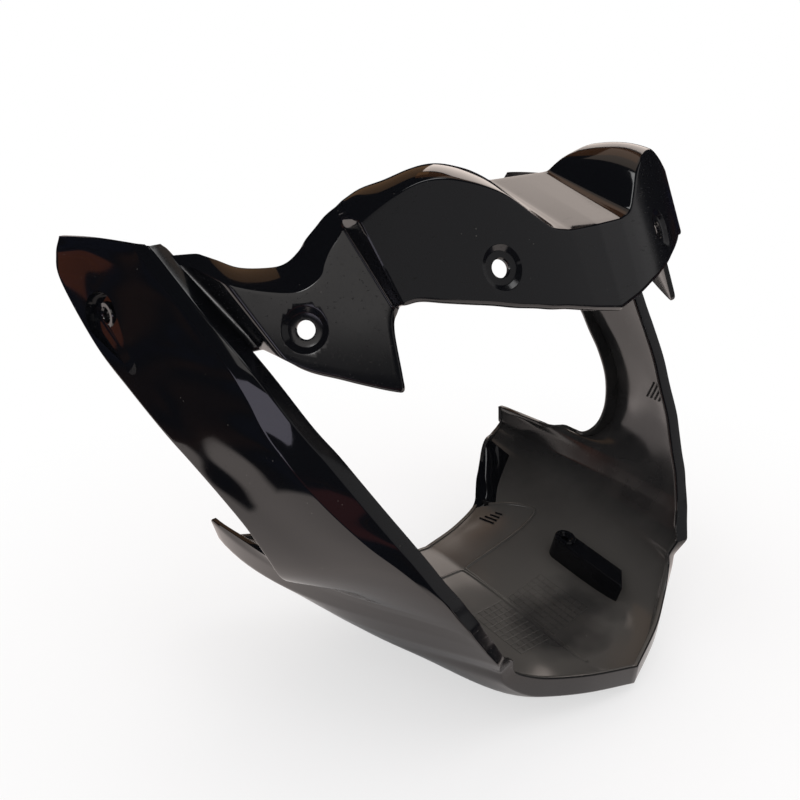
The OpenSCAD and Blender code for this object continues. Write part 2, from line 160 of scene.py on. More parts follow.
# Scales of the patterns, in cells to the metre.
RUB_SCALE = (60, 900, 900)
FILM_SCALE = 34.0
SPECK_SCALE = 330.0
CLUSTER_SCALE = 120.0
WAVE_SCALE = 40.0
# Settled dust, in metres: heights at which it is full and gone, and the patch of painted shade in
# it.
DUST_FULL, DUST_GONE = 0.014, 0.052
SHADE_PATCH_RAGGED = (0.030, 0.030, 0)
SHADE_PATCH_SHIFT = (-0.031, 0.046, 0)
SHADE_PATCH_SCALE = (22, 36, 0)


def linear(hex_colour):
    """sRGB hex to the linear colour that a shader takes."""
    channels = [int(hex_colour[i:i + 2], 16) / 255 for i in (1, 3, 5)]
    return [c / 12.92 if c <= 0.04045 else ((c + 0.055) / 1.055) ** 2.4 for c in channels] + [1]


def add(tree, kind, settings=None, **links):
    """Adds a node with its settings, such as a ramp's stops. A link's name is the input, by
    name or as i and its number; its value is a socket, a node (its live output) or a constant."""
    node = tree.nodes.new(kind)
    for name, value in (settings or {}).items():
        if name == "stops":
            ends = node.color_ramp.elements
            ends[0].position, ends[0].color = value[0]
            ends[1].position, ends[1].color = value[-1]
            for place, colour in value[1:-1]:
                ends.new(place).color = colour
        else:
            setattr(node, name, value)
    for name, value in links.items():
        numbered = name[0] == "i" and name[1:].isdigit()
        socket = node.inputs[int(name[1:]) if numbered else name.replace("_", " ")]
        if isinstance(value, bpy.types.Node):
            value = next(out for out in value.outputs if out.enabled)
        if isinstance(value, bpy.types.NodeSocket):
            tree.links.new(value, socket)
        else:
            socket.default_value = value
    return node


def material(name):
    m = bpy.data.materials.new(name)
    m.use_nodes = True
    m.node_tree.nodes.clear()
    return m, m.node_tree


def grey(v):
    return (v, v, v, 1)


def moulded_abs(name, polish, spread, waviness, marks, black="#0b0c0f", film_and_sheen_tone="#0b0c0f",
                low_tone="#0b0c0f"):
    """Black ABS off a steel mould. The mould's polish sets the gloss; the wall's own
    shrinkage gives the eye a slow waviness in the reflections, and handling leaves
    hair-fine rubs that only show as duller streaks."""
    m, t = material(name)
    place = add(t, "ShaderNodeTexCoord").outputs["Object"]
    # a rub is about 0.2 mm wide and 20 mm long: drawn 0.5 mm wide so that it shows
    askew = add(t, "ShaderNodeMapping", Vector=place, Rotation=(0.4, 0.3, 0.9), Scale=RUB_SCALE)
    rubs = add(t, "ShaderNodeTexNoise", Vector=askew, Scale=1.0, Detail=3.0, Roughness=0.6)
    streaks = add(t, "ShaderNodeValToRGB", {"stops": [(0.60, grey(0)), (0.74, grey(1))]}, Fac=rubs)
    # handling film in patches of about 30 mm; on the core side its lighter grey is partly painted
    # sheen
    film = add(t, "ShaderNodeTexNoise", Vector=place, Scale=FILM_SCALE, Detail=4.0, Roughness=0.55)
    patches = add(t, "ShaderNodeValToRGB", {"stops": [(0.35, grey(0)), (0.75, grey(1))]}, Fac=film)
    rough = add(t, "ShaderNodeMapRange", i0=patches, i1=0.0, i2=1.0, i3=polish, i4=polish + spread)
    worn = add(t, "ShaderNodeMath", {"operation": "MULTIPLY_ADD"}, i0=streaks, i1=marks, i2=rough)
    hazed_and_sheen = add(t, "ShaderNodeMix", {"data_type": "RGBA"}, i0=patches, i6=linear(black),
                i7=linear(film_and_sheen_tone))
    # fine dust lies in the bottom of the chin, gone by about 50 mm up
    height = add(t, "ShaderNodeSeparateXYZ", Vector=place).outputs["Z"]
    settled = add(t, "ShaderNodeValToRGB", {"stops": [(DUST_FULL, grey(1)), (DUST_GONE, grey(0))]},
                  Fac=height)
    # but for a patch of painted shade in its middle, where the dust is thinned out, about 85 x 55
    # mm with a ragged soft edge
    ragged = add(t, "ShaderNodeTexNoise", Vector=place, Scale=45.0, Detail=2.0).outputs["Color"]
    strayed = add(t, "ShaderNodeVectorMath", {"operation": "MULTIPLY_ADD"}, i0=ragged,
                  i1=SHADE_PATCH_RAGGED, i2=place)
    centred = add(t, "ShaderNodeVectorMath", {"operation": "ADD"}, i0=strayed, i1=SHADE_PATCH_SHIFT)
    scaled = add(t, "ShaderNodeVectorMath", {"operation": "MULTIPLY"}, i0=centred, i1=SHADE_PATCH_SCALE)
    apart = add(t, "ShaderNodeVectorMath", {"operation": "LENGTH"}, i0=scaled)
    outside_shade = add(t, "ShaderNodeValToRGB", {"stops": [(0.45, grey(0.15)), (1.05, grey(1))]},
                  Fac=apart)
    dust_outside_shade = add(t, "ShaderNodeMath", {"operation": "MULTIPLY"}, i0=settled, i1=outside_shade)
    dust_and_shade = add(t, "ShaderNodeMix", {"data_type": "RGBA"}, i0=dust_outside_shade, i6=hazed_and_sheen, i7=linear(low_tone))
    # loose dust: points of about 0.4 mm, few to the square centimetre
    specks = add(t, "ShaderNodeTexVoronoi", Vector=place, Scale=SPECK_SCALE)
    dots = add(t, "ShaderNodeValToRGB", {"stops": [(0.07, grey(1)), (0.12, grey(0))]}, Fac=specks)
    cluster = add(t, "ShaderNodeTexNoise", Vector=place, Scale=CLUSTER_SCALE, Detail=1.0)
    few = add(t, "ShaderNodeValToRGB", {"stops": [(0.62, grey(0)), (0.7, grey(1))]}, Fac=cluster)
    dust = add(t, "ShaderNodeMath", {"operation": "MULTIPLY"}, i0=dots, i1=few)
    thin = add(t, "ShaderNodeMath", {"operation": "MULTIPLY"}, i0=dust, i1=0.35)
    colour = add(t, "ShaderNodeMix", {"data_type": "RGBA"}, i0=thin, i6=dust_and_shade, i7=linear("#6d6a66"))
    # waviness: shrinkage over the ribs and bosses, 25 mm from crest to crest
    waves = add(t, "ShaderNodeTexNoise", Vector=place, Scale=WAVE_SCALE, Detail=1.0, Roughness=0.3)
    bump = add(t, "ShaderNodeBump", Height=waves, Strength=waviness, Distance=0.002)
    surface = add(t, "ShaderNodeBsdfPrincipled", Base_Color=colour, Roughness=worn, IOR=ABS_IOR,
                  Normal=bump)
    add(t, "ShaderNodeOutputMaterial", Surface=surface)
    return m


# Show faces: mirror-polished steel, so the eye reads the room in them.
gloss_abs = moulded_abs("gloss_moulded_abs", 0.045, 0.05, 0.02, 0.10)
# Rim strip and brow face: the same shot off a finely stoned steel, softer gloss.
stoned_abs = moulded_abs("stoned_moulded_abs", 0.12, 0.08, 0.05, 0.25)
# Inner walls: off the core side, which is only ground, so the gloss is broader.
# A lighter grey in patches greys them a little, partly a haze of release wax and partly painted
# sheen for the room's soft reflection; dust settles low down on them, but for a patch of painted
# shade.
inner_abs = moulded_abs("core_side_moulded_abs", 0.15, 0.08, 0.08, 0.05, "#1d1d1e", "#2e2d2d",
                        "#4e4c4a")
FINISHES = [gloss_abs, stoned_abs, inner_abs]
GLOSS, STONED, INNER = 0, 1, 2


# --------------------------------------------------------------- lofting tools

def run(table, breaks, s):
    """Cubic run through the rows of a table, with a corner where a row is a break."""
    last = len(table) - 1
    i = np.minimum(np.floor(s).astype(int), last - 1)
    f = (s - i).reshape((-1,) + (1,) * (table.ndim - 1))
    a, b = table[i], table[i + 1]
    corner_a = np.array([k in breaks for k in i]).reshape(f.shape)
    corner_b = np.array([k + 1 in breaks for k in i]).reshape(f.shape)
    ta = np.where(corner_a, b - a, (b - table[np.maximum(i - 1, 0)]) / 2)
    tb = np.where(corner_b, b - a, (table[np.minimum(i + 2, last)] - a) / 2)
    return (a * (2 * f**3 - 3 * f**2 + 1) + ta * (f**3 - 2 * f**2 + f)
            + b * (3 * f**2 - 2 * f**3) + tb * (f**3 - f**2))


def unit(v):
    return v / np.maximum(np.linalg.norm(v, axis=-1, keepdims=True), 1e-9)


def skin(s, u):
    """Outer skin without the facet, for each station s and its own row of shares u."""
    s = np.asarray(s, float)
    side = np.sign(s) + (s == 0)
    rails = run(RAILS[:, :12].reshape(-1, 4, 3), RAIL_BREAKS, np.abs(s)).copy()
    rails[..., 0] *= side[:, None]
    w = np.stack([(1 - 3 * u) * (2 - 3 * u) * (1 - u) / 2, 9 * u * (2 - 3 * u) * (1 - u) / 2,
                  9 * u * (3 * u - 1) * (1 - u) / 2, u * (3 * u - 1) * (3 * u - 2) / 2])
    return np.einsum("skc,ksu->suc", rails, w)


STATION_STEP, SHARE_STEP = 0.12, 0.03  # short steps along and across the skin, for its slope


def along_rails(s, u):
    """Step of the outer skin from just before a station to just past it."""
    last = len(RAILS) - 1
    return (skin(np.minimum(s + STATION_STEP, last), u)
            - skin(np.maximum(s - STATION_STEP, -last), u))


def inward(s, u):
    """Direction through the wall, from the outer skin to the inner."""
    across = skin(s, np.minimum(u + SHARE_STEP, 1)) - skin(s, np.maximum(u - SHARE_STEP, 0))
    return unit(np.cross(along_rails(s, u), across))


def soften(corners):
    """Outline of each station: a list of (points, radius, finish). A corner gets an arc;
    two radii mean the reach back and the reach ahead along the outline."""
    out, finish = [], []
    n = len(corners)
    for k, (p, radius, tone) in enumerate(corners):
        if radius == 0:
            out.append(p)
            finish.append(tone)
            continue
        a, b = corners[k - 1][0] - p, corners[(k + 1) % n][0] - p
        la, lb = (np.linalg.norm(v, axis=1, keepdims=True) for v in (a, b))
        if isinstance(radius, tuple):
            reach_a, reach_b = np.minimum(radius[0], 0.86 * la), np.minimum(radius[1], 0.86 * lb)
            steps = 8
        else:
            reach_a = reach_b = np.minimum(radius, 0.45 * np.minimum(la, lb))
            steps = 5
        pa, pb = p + unit(a) * reach_a, p + unit(b) * reach_b
        for t in np.linspace(0, 1, steps):
            out.append((1 - t)**2 * pa + 2 * t * (1 - t) * p + t**2 * pb)
            finish.append(tone)
    return np.stack(out, axis=1), finish


def ease(points):
    """Rounds the breaks between stations a little, keeping the first and last."""
    inner = points[1:-1] * 0.5 + (points[:-2] + points[2:]) * 0.25
    return np.concatenate([points[:1], inner, points[-1:]])


def loft(outlines, finish):
    """Closed tube through the outlines, in metres, open at its first end."""
    count, around = outlines.shape[:2]
    bm = bmesh.new()
    bmesh.ops.create_grid(bm, x_segments=around, y_segments=count - 1, size=1)
    index = {}
    for v in bm.verts:
        i, j = round((v.co.y + 1) / 2 * (count - 1)), round((v.co.x + 1) / 2 * around)
        index[v] = (i, j % around)
    for f in bm.faces:
        places = [index[v][1] for v in f.verts]
        over_seam = max(places) - min(places) > 1
        f.material_index = finish[around - 1 if over_seam else min(places)]
        f.smooth = True
    for v, (i, j) in index.items():
        x, y, z = outlines[i, j]
        v.co = (x * MM, (y - MIDDLE_Y) * MM, z * MM)
    bmesh.ops.remove_doubles(bm, verts=bm.verts, dist=1e-7)
    return bm


def close_and_mirror(bm):
    """Caps the far end, mirrors about X = 0 and joins the halves."""
    edges = [e for e in bm.edges if e.is_boundary and min(v.co.x for v in e.verts) > 0.002]
    bmesh.ops.holes_fill(bm, edges=edges, sides=0)
    for v in bm.verts:
        if abs(v.co.x) < 2e-5:
            v.co.x = 0
    both = bmesh.ops.duplicate(bm, geom=bm.verts[:] + bm.edges[:] + bm.faces[:])["geom"]
    verts = [g for g in both if isinstance(g, bmesh.types.BMVert)]
    faces = [g for g in both if isinstance(g, bmesh.types.BMFace)]
    bmesh.ops.scale(bm, vec=(-1, 1, 1), verts=verts)
    bmesh.ops.reverse_faces(bm, faces=faces)
    bmesh.ops.remove_doubles(bm, verts=[v for v in bm.verts if v.co.x == 0], dist=1e-6)
    bmesh.ops.recalc_face_normals(bm, faces=bm.faces)


def piece(name, bm):
    """A form as an object that carries the three finishes."""
    mesh = bpy.data.meshes.new(name)
    bm.to_mesh(mesh)
    bm.free()
    for m in FINISHES:
        mesh.materials.append(m)
    obj = bpy.data.objects.new(name, mesh)
    bpy.context.scene.collection.objects.link(obj)
    return obj


def carve(obj, tool, operation):
    """Joins a tool's shape to a piece or cuts it out, and drops the tool."""
    cut = obj.modifiers.new("carve", "BOOLEAN")
    cut.operation, cut.solver, cut.object = operation, "EXACT", tool
    depsgraph = bpy.context.evaluated_depsgraph_get()
    mesh = bpy.data.meshes.new_from_object(obj.evaluated_get(depsgraph))
    obj.modifiers.remove(cut)
    obj.data = mesh
    bpy.data.objects.remove(tool)


def edges_by_angle(obj, degrees):
    """Smooth shading, with the real edges kept sharp."""
    bm = bmesh.new()
    bm.from_mesh(obj.data)
    for f in bm.faces:
        f.smooth = True
    for e in bm.edges:
        e.smooth = not (len(e.link_faces) == 2 and e.calc_face_angle(0) > math.radians(degrees))
    bm.to_mesh(obj.data)
    bm.free()


# ------------------------------------------------------------------- the shell

def shell():
    """Rim strip, skin, turned-in rear edge and inner wall in one closed outline a station."""
    s = np.concatenate([np.linspace(0, 5, 51)[:-1], np.linspace(5, 6, 7)[:-1],
                        np.linspace(6, 9, 31)[:-1], np.linspace(9, 22, 131)])
    ones = np.ones(len(s))
    facet = run(FACET, RAIL_BREAKS, s)
    ridge, stand = np.maximum(facet[:, 0], 0.045), np.maximum(facet[:, 1], 0) * RIDGE_OUT
    shares = [0 * ones, ridge * 0.5, ridge]
    shares += [ridge + (1 - ridge) * k / 26 for k in range(1, 27)]
    u = np.stack(shares, axis=1)
    into = inward(s, u)
    past = np.clip((u - ridge[:, None]) / 0.6, 0, 1)
    bulge = np.where(u <= ridge[:, None], u / ridge[:, None], 1 - past**2 * (3 - 2 * past))
    outer = skin(s, u) - into * (bulge * stand[:, None])[..., None]
    inner = outer + into * WALL
    way = run(RAILS[:, 12:15], RAIL_BREAKS, s)
    share = np.maximum(run(RAILS[:, 15], RAIL_BREAKS, s), 0)[:, None]
    # the chin's lip turns into the rim strip between stations 5 and 6
    length = np.where(s < 5, LIP_HEIGHT, np.where(
        s > 6, STRIP_WIDTH, LIP_HEIGHT + (STRIP_WIDTH - LIP_HEIGHT) * (s - 5)))
    front, rear = outer[:, 0], outer[:, -1]
    front_edge, rear_edge = 0 * u[:, :1], 0 * u[:, :1] + 1
    back = unit(np.cross(way, along_rails(s, front_edge)[:, 0]))
    into_rear = into[:, -1]
    turn = unit(np.cross(along_rails(s, rear_edge)[:, 0], into_rear))
    depth = EDGE_RETURN + (SCOOP_FLANGE - EDGE_RETURN) * share
    w = way * length[:, None]
    # corners of each outline: place, radius, finish
    corners = [(front + w, 0.8, STONED), (front, 0.9, GLOSS), (outer[:, 1], 0, GLOSS),
               (outer[:, 2], 0.7, GLOSS)]
    corners += [(outer[:, k], 0, GLOSS) for k in range(3, 28)]
    corners += [(rear, 0.9, GLOSS), (rear + into_rear * depth, 0.9, INNER),
                (rear + into_rear * depth + turn * WALL, 0.9, INNER),
                (rear + into_rear * WALL + turn * WALL, 0.8, INNER)]
    corners += [(inner[:, k], 0, INNER) for k in range(27, 0, -1)]
    corners += [(front + into[:, 0] * WALL + back * WALL, 0.8, INNER),
                (front + w + back * WALL, 0.8, INNER)]
    outlines, finish = soften(corners)
    outlines = ease(outlines)
    outlines[..., 2] = np.maximum(outlines[..., 2], LOWEST)
    bm = loft(outlines, finish)
    close_and_mirror(bm)
    return piece("cowl_shell", bm)


def on_plane(point, out, tail=None):
    """Frame with +Z outwards at a point in rail millimetres, and +X along a tail."""
    out = Vector(out).normalized()
    side = Vector(tail) if tail else out.orthogonal()
    x = (side - out * side.dot(out)).normalized()
    y = out.cross(x)
    at = Vector(point) - Vector((0, MIDDLE_Y, 0))
    turn = Matrix((x, y, out)).transposed().to_4x4()
    return Matrix.Translation(at * MM) @ turn @ Matrix.Scale(MM, 4)


def turned(profile, steps=48):
    """Spins a profile of (radius, height) points, in mm, about its own axis."""
    bm = bmesh.new()
    ring = [bm.verts.new((r, 0, z)) for r, z in profile]
    edges = [bm.edges.new(pair) for pair in zip(ring, ring[1:])]
    bmesh.ops.spin(bm, geom=ring + edges, cent=(0, 0, 0), axis=(0, 0, 1), angle=math.tau,
                   steps=steps, use_merge=True)
    bmesh.ops.remove_doubles(bm, verts=bm.verts, dist=1e-5)
    bmesh.ops.recalc_face_normals(bm, faces=bm.faces)
    return bm


def both_sides(bm, matrix, finish):
    """Puts a closed form in its place and mirrors it to the other side."""
    bmesh.ops.transform(bm, matrix=matrix, verts=bm.verts)
    twin = bmesh.ops.duplicate(bm, geom=bm.verts[:] + bm.edges[:] + bm.faces[:])["geom"]
    verts = [g for g in twin if isinstance(g, bmesh.types.BMVert)]
    faces = [g for g in twin if isinstance(g, bmesh.types.BMFace)]
    bmesh.ops.scale(bm, vec=(-1, 1, 1), verts=verts)
    bmesh.ops.reverse_faces(bm, faces=faces)
    for f in bm.faces:
        f.material_index = finish
        f.smooth = True
    return bm


def prism(outline, low, high, taper=1.0, round_top=0.0):
    """Upright form on a flat outline of (x, y) points."""
    bm = bmesh.new()
    face = bm.faces.new([bm.verts.new((x, y, low)) for x, y in outline])
    top = bmesh.ops.extrude_face_region(bm, geom=[face])["geom"]
    verts = [g for g in top if isinstance(g, bmesh.types.BMVert)]
    bmesh.ops.translate(bm, vec=(0, 0, high - low), verts=verts)
    if taper != 1.0:
        bmesh.ops.scale(bm, vec=(taper, taper, 1), verts=verts)
    if round_top:
        rim = [e for e in bm.edges if all(abs(v.co.z - high) < 1e-6 for v in e.verts)]
        bmesh.ops.bevel(bm, geom=rim, offset=round_top, offset_type="OFFSET", segments=3,
                        profile=0.5, affect="EDGES", material=-1)
    bmesh.ops.recalc_face_normals(bm, faces=bm.faces)
    return bm


def arc(cx, cy, radius, start, end, steps):
    return [(cx + radius * math.cos(math.radians(a)), cy + radius * math.sin(math.radians(a)))
            for a in np.linspace(start, end, steps)]


def teardrop(radius, tip):
    """Outline of a wing pocket: a round end about the screw, drawn out to a small tip."""
    lean = math.degrees(math.asin((radius - tip) / POCKET_TAIL))
    round_end = arc(0, 0, radius, 90 - lean, 270 + lean, 29)
    return round_end + arc(POCKET_TAIL, 0, tip, -90 + lean, 90 - lean, 9)


def wing_seats(obj):
    """Pocket, collar and bore of each wing. Heights are measured out of the skin."""
    wing = on_plane(WING_SEAT, WING_OUT, POCKET_WAY)
    across = on_plane(WING_SEAT, (1, 0, 0), POCKET_WAY)
    behind = -POCKET_DEPTH - WALL
    pad = prism(teardrop(POCKET_D / 2 + 2.4, 3), behind, -0.7)
    carve(obj, piece("pad", both_sides(pad, wing, INNER)), "UNION")
    sleeve = turned([(0, behind - 1.5), (WING_COLLAR - 0.5, behind - 1.5),
                     (WING_COLLAR, behind - 1.0), (WING_COLLAR, -3.2), (0, -3.2)])
    carve(obj, piece("sleeve", both_sides(sleeve, across, INNER)), "UNION")
    slope = Matrix.Rotation(-math.atan(POCKET_DEPTH / POCKET_TAIL), 4, "Y")
    floor = wing @ Matrix.Translation((0, 0, -POCKET_DEPTH)) @ slope
    pocket = prism(teardrop(POCKET_D / 2 - 0.8, 1.2), 0, 16, taper=1.28)
    carve(obj, piece("pocket", both_sides(pocket, floor, GLOSS)), "DIFFERENCE")
    collar = turned([(0, -8), (WING_COLLAR, -8), (WING_COLLAR, -3.1), (WING_COLLAR - 0.5, -2.6),
                     (4.2, -2.6), (WING_BORE, -3.4), (0, -3.4)])
    carve(obj, piece("collar", both_sides(collar, across, GLOSS)), "UNION")
    bore = turned([(0, -24), (WING_BORE, -24), (WING_BORE, -3.2), (4.0, -2.4), (4.0, 4), (0, 4)])
    carve(obj, piece("bore", both_sides(bore, across, GLOSS)), "DIFFERENCE")


def floor_finder(shell_obj):
    """Where a plumb line dropped inside the chin meets its floor."""
    tree = BVHTree.FromObject(shell_obj, bpy.context.evaluated_depsgraph_get())

    def find(x, y, ceiling=60):
        start = Vector((x * MM, (y - MIDDLE_Y) * MM, ceiling * MM))
        hit, normal, *_ = tree.ray_cast(start, Vector((0, 0, -1)))
        return hit, normal
    return find


def chin_bosses(obj):
    """The two long blocks of the chin: a round head about the screw, a tail to the front."""
    fall = math.radians(CHIN_BOSS_FALL)
    top = on_plane(CHIN_BOSS, (0, -math.sin(fall), math.cos(fall)), (1, 0, 0))
    find = floor_finder(obj)
    left_side = [(-BOSS_RADIUS, y) for y in range(-4, -47, -4)] + [(-BOSS_RADIUS, -47)]
    right_side = [(BOSS_RADIUS, -38)] + [(BOSS_RADIUS, y) for y in range(-36, 0, 4)]
    head = arc(0, 0, BOSS_RADIUS, 0, 180, 17)
    block = prism(head + left_side + right_side, -BOSS_FOOT, 0, round_top=0.9)
    for v in block.verts:
        if v.co.z < -BOSS_FOOT + 0.2:
            foot = top @ v.co
            hit, _ = find(foot.x / MM, foot.y / MM + MIDDLE_Y, 30)
            v.co = top.inverted() @ Vector((hit.x, hit.y, hit.z - 1.3 * MM))
    bmesh.ops.triangulate(block, faces=[f for f in block.faces if len(f.verts) > 8])
    carve(obj, piece("boss", both_sides(block, top, GLOSS)), "UNION")
    collar = turned([(0, -2), (6.4, -2), (6.4, 0.5), (5.9, 1.0), (4.3, 1.0), (3.5, 0.3), (0, 0.3)],
                    40)
    carve(obj, piece("collar", both_sides(collar, top, GLOSS)), "UNION")
    bore = turned([(0, -36), (CHIN_RECESS, -36), (CHIN_RECESS, -12), (CHIN_BORE, -12),
                   (CHIN_BORE, -0.5), (2.9, 0.1), (2.9, 3), (0, 3)], 40)
    carve(obj, piece("bore", both_sides(bore, top, GLOSS)), "DIFFERENCE")


# -------------------------------------------------------------------- the brow

def face_y(x, z, outer):
    """How far back the brow's middle or outer face stands at (x, z)."""
    y = (OUTER_Y + SWEEP * (x - OUTER_X)) if outer else (FACE_Y + BOW * x * x / 1000)
    return y + RAKE * (z - LEAN_Z)


def brow_rows():
    """The brow's table as places: low edge, top edge, rear of the roof, crown."""
    rows = []
    for low_x, low, top_x, rise, rx, ry, rz, outer, crown in BROW:
        top_z = VALLEY_Z + (END_DROP * rise if rise < 0 else HUMP * rise)
        points = [[x, face_y(x, z, outer), z] for x, z in ((low_x, VALLEY_Z + low), (top_x, top_z))]
        rows.append(points + [[rx, ry, rz], [crown, 0, 0]])
    return np.array(rows + [tail + [[0, 0, 0]] for tail in BROW_TAIL], float)


def brow():
    """Face, crowned roof and inner wall in one closed outline a station."""
    rows = brow_rows()
    last = len(rows) - 1
    q = np.concatenate([np.linspace(0, 11, 111)[:-1], np.linspace(11, 12, 9)[:-1],
                        np.linspace(12, last, 81)])
    at = run(rows, BROW_BREAKS, q)
    ahead = run(rows, BROW_BREAKS, np.minimum(q + 0.5, last))
    behind = run(rows, BROW_BREAKS, np.abs(q - 0.5))
    behind[:, :3, 0] *= (np.sign(q - 0.5) + (q == 0.5))[:, None]
    low, top, rear, crown = at[:, 0], at[:, 1], at[:, 2], at[:, 3, :1]
    along = ahead - behind
    low_in, top_in = (unit(np.cross(along[:, k], top - low)) * BROW_WALL for k in (0, 1))
    up = unit(np.cross(along[:, 1], rear - top))
    low_back, top_back = low - low_in, top - up * BROW_WALL - top_in
    cells = 14

    def roof(t, lift):
        hump = crown * 4 * t * (1 - t) * 0.96
        return top + (rear - top) * t + up * (hump - lift)

    corners = [(low, (2.4, 2.6), STONED)]
    corners += [(low + (top - low) * (0.1 + 0.9 * k / cells), 0, STONED) for k in range(1, cells)]
    corners += [(top, 1.3, GLOSS)]
    corners += [(roof(t, 0), 0, GLOSS) for t in np.linspace(0.08, 0.94, 10)]
    corners += [(rear, 0.9, GLOSS), (rear - up * BROW_WALL, 0.9, INNER)]
    corners += [(roof(t, BROW_WALL), 0, INNER) for t in np.linspace(0.9, 0.14, 8)]
    corners += [(top_back, 0, INNER)]
    corners += [(top_back + (low_back - top_back) * k / cells, 0, INNER) for k in range(1, cells)]
    corners += [(low_back, (0.4, 0.3), INNER)]
    outlines, finish = soften(corners)
    bm = loft(ease(outlines), finish)
    close_and_mirror(bm)
    return piece("cowl_brow", bm)


def brow_seats(obj):
    """Boss behind, bore, flat floor and sloping side of each seat, as (radius, height)."""
    for x, z, outer in SEATS:
        out = (SWEEP if outer else 2 * BOW * x / 1000, -1, RAKE)
        seat = on_plane((x, face_y(x, z, outer), z), out)
        boss = turned([(0, -4.2), (11.7, -4.2), (12, -3.9), (12, -1), (0, -1)], 64)
        carve(obj, piece("boss", both_sides(boss, seat, INNER)), "UNION")
        cut = turned([(0, -12), (4.9, -12), (4.9, -4.2), (4.1, -3.6), (4.1, -2.1), (4.6, -1.6),
                      (7.2, -1.6), (7.7, -1.42), (9.7, -0.2), (10.3, 0.06), (11.2, 0.5), (11.2, 2),
                      (0, 2)], 72)
        carve(obj, piece("seat", both_sides(cut, seat, STONED)), "DIFFERENCE")


cowl_shell = shell()
wing_seats(cowl_shell)
chin_bosses(cowl_shell)
edges_by_angle(cowl_shell, EDGE_ANGLE)

cowl_brow = brow()
brow_seats(cowl_brow)
edges_by_angle(cowl_brow, EDGE_ANGLE)


# ----------------------------------------------------- marks on the chin floor

def wall_finder(shell_obj):
    """Where a level line from the middle meets the inside of the +X panel, at (y, z)."""
    tree = BVHTree.FromObject(shell_obj, bpy.context.evaluated_depsgraph_get())

    def find(y, z):
        start = Vector((0.06, (y - MIDDLE_Y) * MM, z * MM))
        hit, normal, *_ = tree.ray_cast(start, Vector((1, 0, 0)))
        return hit, normal
    return find


def ribbons(name, lines, width, height, finish, find, twin=False):
    """Low ribs laid along lines of points on the inside of the shell."""
    bm = bmesh.new()
    for line in lines:
        line = np.array(line, float)
        way = unit(np.gradient(line, axis=0))
        across = np.stack([-way[:, 1], way[:, 0]], axis=1)
        strip = bmesh.ops.create_grid(bm, x_segments=len(line) - 1, y_segments=4, size=1)["verts"]
        for v in strip:
            i, j = round((v.co.x + 1) / 2 * (len(line) - 1)), round((v.co.y + 1) * 2) - 2
            hit, normal = find(*(line[i] + across[i] * j / 2 * width / 2))
            rise = (-0.25, height * 0.8, height, height * 0.8, -0.25)[j + 2]
            v.co = hit + normal * rise * MM
    for f in bm.faces:
        f.material_index = finish
        f.smooth = True
    bmesh.ops.recalc_face_normals(bm, faces=bm.faces)
    if twin:
        both_sides(bm, Matrix.Identity(4), finish)
    return piece(name, bm)


def rounded(points):
    """A drawn line with its corners cut round four times, then even steps along it."""
    line = np.array(points, float)
    for _ in range(4):
        near, far = line[:-1] * 0.75 + line[1:] * 0.25, line[:-1] * 0.25 + line[1:] * 0.75
        cut = np.stack([near, far], axis=1).reshape(-1, 2)
        line = np.concatenate([line[:1], cut, line[-1:]])
    way = np.concatenate([[0], np.cumsum(np.linalg.norm(np.diff(line, axis=0), axis=1))])
    even = np.linspace(0, way[-1], max(int(way[-1] / 1.2), 4))
    return np.stack([np.interp(even, way, line[:, k]) for k in (0, 1)], axis=1)


def rear_gutter():
    """Sloping band inside the rear edge of the chin's corners, where it stiffens the edge."""
    s = np.linspace(GUTTER_FROM, GUTTER_TO, 62)
    swell = np.clip(np.minimum((s - GUTTER_FROM) / 0.5, (GUTTER_TO - s) / 0.3), 0, 1)[:, None]
    u = np.stack([1 + 0 * s, 1 - GUTTER_SHARE * swell[:, 0]], axis=1)
    at, into = skin(s, u), inward(s, u)
    top = at[:, 0] + into[:, 0] * (WALL + 0.3 + GUTTER_HEIGHT * swell)
    foot = at[:, 1] + into[:, 1] * (WALL + 0.05)
    buried = [at[:, k] + into[:, k] * (WALL - 0.8) for k in (1, 0)]
    corners = [(top, 0.7, GLOSS), (foot, 0, GLOSS)] + [(b, 0, GLOSS) for b in buried]
    outlines, finish = soften(corners)
    bm = loft(outlines, finish)
    bmesh.ops.holes_fill(bm, edges=[e for e in bm.edges if e.is_boundary], sides=0)
    bmesh.ops.recalc_face_normals(bm, faces=bm.faces)
    return piece("cowl_gutter", both_sides(bm, Matrix.Identity(4), GLOSS))


chin_floor, side_wall = floor_finder(cowl_shell), wall_finder(cowl_shell)
grid_lines = []
for k in range(10):
    y = GRID_FRONT + GRID_PITCH * k
    grid_lines.append([(x, y) for x in np.linspace(GRID_LEFT, GRID_LEFT + GRID_WIDTH, 41)])
for k in range(15):
    x = GRID_LEFT + GRID_WIDTH * k / 14
    grid_lines.append([(x, y) for y in np.linspace(GRID_FRONT, GRID_FRONT + GRID_PITCH * 9, 15)])
cowl_grid = ribbons("cowl_grid", grid_lines, 0.9, 0.3, INNER, chin_floor)

# raised edge of the pad across the chin, with its rounded corner, and the keel
pad_edge = rounded([(60.4, 152), (73, 129), (73, 120.5), (2, 120), (0.4, 118), (0.4, 30)])
cowl_pad_edge = ribbons("cowl_pad_edge", [pad_edge], 2.6, 0.7, INNER, chin_floor, twin=True)
